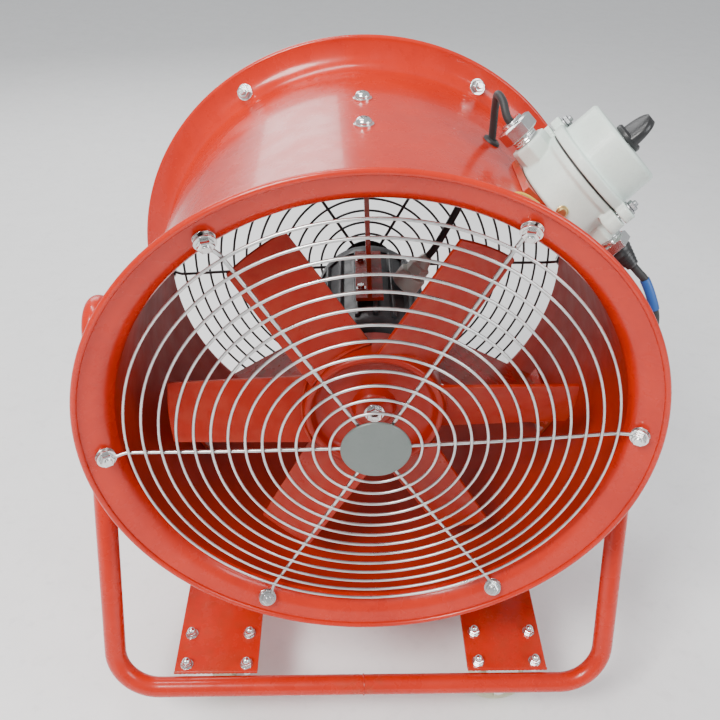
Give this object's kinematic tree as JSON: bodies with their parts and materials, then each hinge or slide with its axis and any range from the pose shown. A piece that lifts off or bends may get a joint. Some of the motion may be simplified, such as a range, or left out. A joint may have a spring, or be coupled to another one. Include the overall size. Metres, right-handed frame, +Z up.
{
  "type": "portable axial exhaust fan",
  "caption": "Portable axial exhaust fan: short flanged steel duct with wire guards, bladed impeller on a bracket-held motor, switch box, tubular A-frame stand on casters.",
  "frame": {"origin": "on the floor under the middle of the duct", "axes": "+Y is the way the air flows, from the bright front guard to the black rear guard; +X is to the right seen from the front; +Z is up"},
  "size_m": [0.6324, 0.4278, 0.7665],
  "materials": {
    "paint": "glossy orange-red enamel",
    "zinc": "bright zinc plate",
    "black_wire": "black coated wire",
    "dark_cast": "dark grey motor paint",
    "pale_cast": "pale grey-green cast housing",
    "black_plastic": "black moulded plastic",
    "rubber": "black rubber",
    "cream": "cream nylon",
    "steel": "turned steel",
    "brass": "brass"
  },
  "bodies": {
    "stand": {"duct_shell": "paint", "motor_bracket_top": "paint", "motor_bracket_right": "paint", "motor_bracket_left": "paint", "box_mount_plate": "paint", "frame_tube_left": "paint", "frame_tube_right": "paint", "base_plate_left": "paint", "base_plate_right": "paint", "side_lug_left": "paint", "side_lug_right": "paint", "front_guard": "zinc", "cover_bolt_1": "zinc", "cover_bolt_2": "zinc", "motor_lead_gland": "zinc", "swivel_plate_front": "zinc", "swivel_plate_rear": "zinc", "rigid_fork_front": "zinc", "rigid_fork_rear": "zinc", "rigid_axle_front": "zinc", "rigid_axle_rear": "zinc", "rear_guard": "black_wire", "motor_housing": "dark_cast", "front_end_shield": "dark_cast", "rear_end_shield": "dark_cast", "motor_gland": "pale_cast", "switch_box_body": "pale_cast", "switch_box_cover": "pale_cast", "switch_block": "black_plastic", "power_plug": "black_plastic", "supply_gland": "black_plastic", "cover_gasket": "rubber", "motor_lead": "rubber", "power_cord_tube": "rubber", "power_cord_coil": "rubber", "stator_core": "steel", "front_bearing": "steel", "rear_bearing": "steel", "earth_screw": "brass"},
    "impeller": {"impeller_hub": "paint", "blade_1": "paint", "blade_2": "paint", "blade_3": "paint", "blade_4": "paint", "blade_5": "paint", "blade_6": "paint", "hub_bolt": "zinc", "rotor": "steel"},
    "selector": {"selector_knob": "black_plastic", "selector_spindle": "steel"},
    "swivel_front": {"swivel_fork_front": "zinc", "swivel_axle_front": "zinc"},
    "swivel_rear": {"swivel_fork_rear": "zinc", "swivel_axle_rear": "zinc"},
    "wheel_swivel_front": {"swivel_wheel_front": "cream"},
    "wheel_swivel_rear": {"swivel_wheel_rear": "cream"},
    "wheel_rigid_front": {"rigid_wheel_front": "cream"},
    "wheel_rigid_rear": {"rigid_wheel_rear": "cream"}
  },
  "joints": [
    {"name": "impeller_spin", "type": "hinge", "parent": "stand", "child": "impeller", "pos_m": [0, -0.119, 0.48], "axis": [0, 1, 0], "continuous": true},
    {"name": "selector_turn", "type": "hinge", "parent": "stand", "child": "selector", "pos_m": [0.24089, -0.027, 0.74753], "axis": [0.6691, 0, 0.7431], "range_deg": [0, 90]},
    {"name": "swivel_front_turn", "type": "hinge", "parent": "stand", "child": "swivel_front", "pos_m": [-0.185, -0.157, 0.094], "axis": [0, 0, 1], "continuous": true},
    {"name": "swivel_rear_turn", "type": "hinge", "parent": "stand", "child": "swivel_rear", "pos_m": [-0.185, 0.157, 0.094], "axis": [0, 0, 1], "continuous": true},
    {"name": "wheel_swivel_front_roll", "type": "hinge", "parent": "swivel_front", "child": "wheel_swivel_front", "pos_m": [-0.185, -0.127, 0.0375], "axis": [1, 0, 0], "continuous": true},
    {"name": "wheel_swivel_rear_roll", "type": "hinge", "parent": "swivel_rear", "child": "wheel_swivel_rear", "pos_m": [-0.185, 0.127, 0.0375], "axis": [1, 0, 0], "continuous": true},
    {"name": "wheel_rigid_front_roll", "type": "hinge", "parent": "stand", "child": "wheel_rigid_front", "pos_m": [0.185, -0.157, 0.0375], "axis": [0, 1, 0], "continuous": true},
    {"name": "wheel_rigid_rear_roll", "type": "hinge", "parent": "stand", "child": "wheel_rigid_rear", "pos_m": [0.185, 0.157, 0.0375], "axis": [0, 1, 0], "continuous": true}
  ]
}
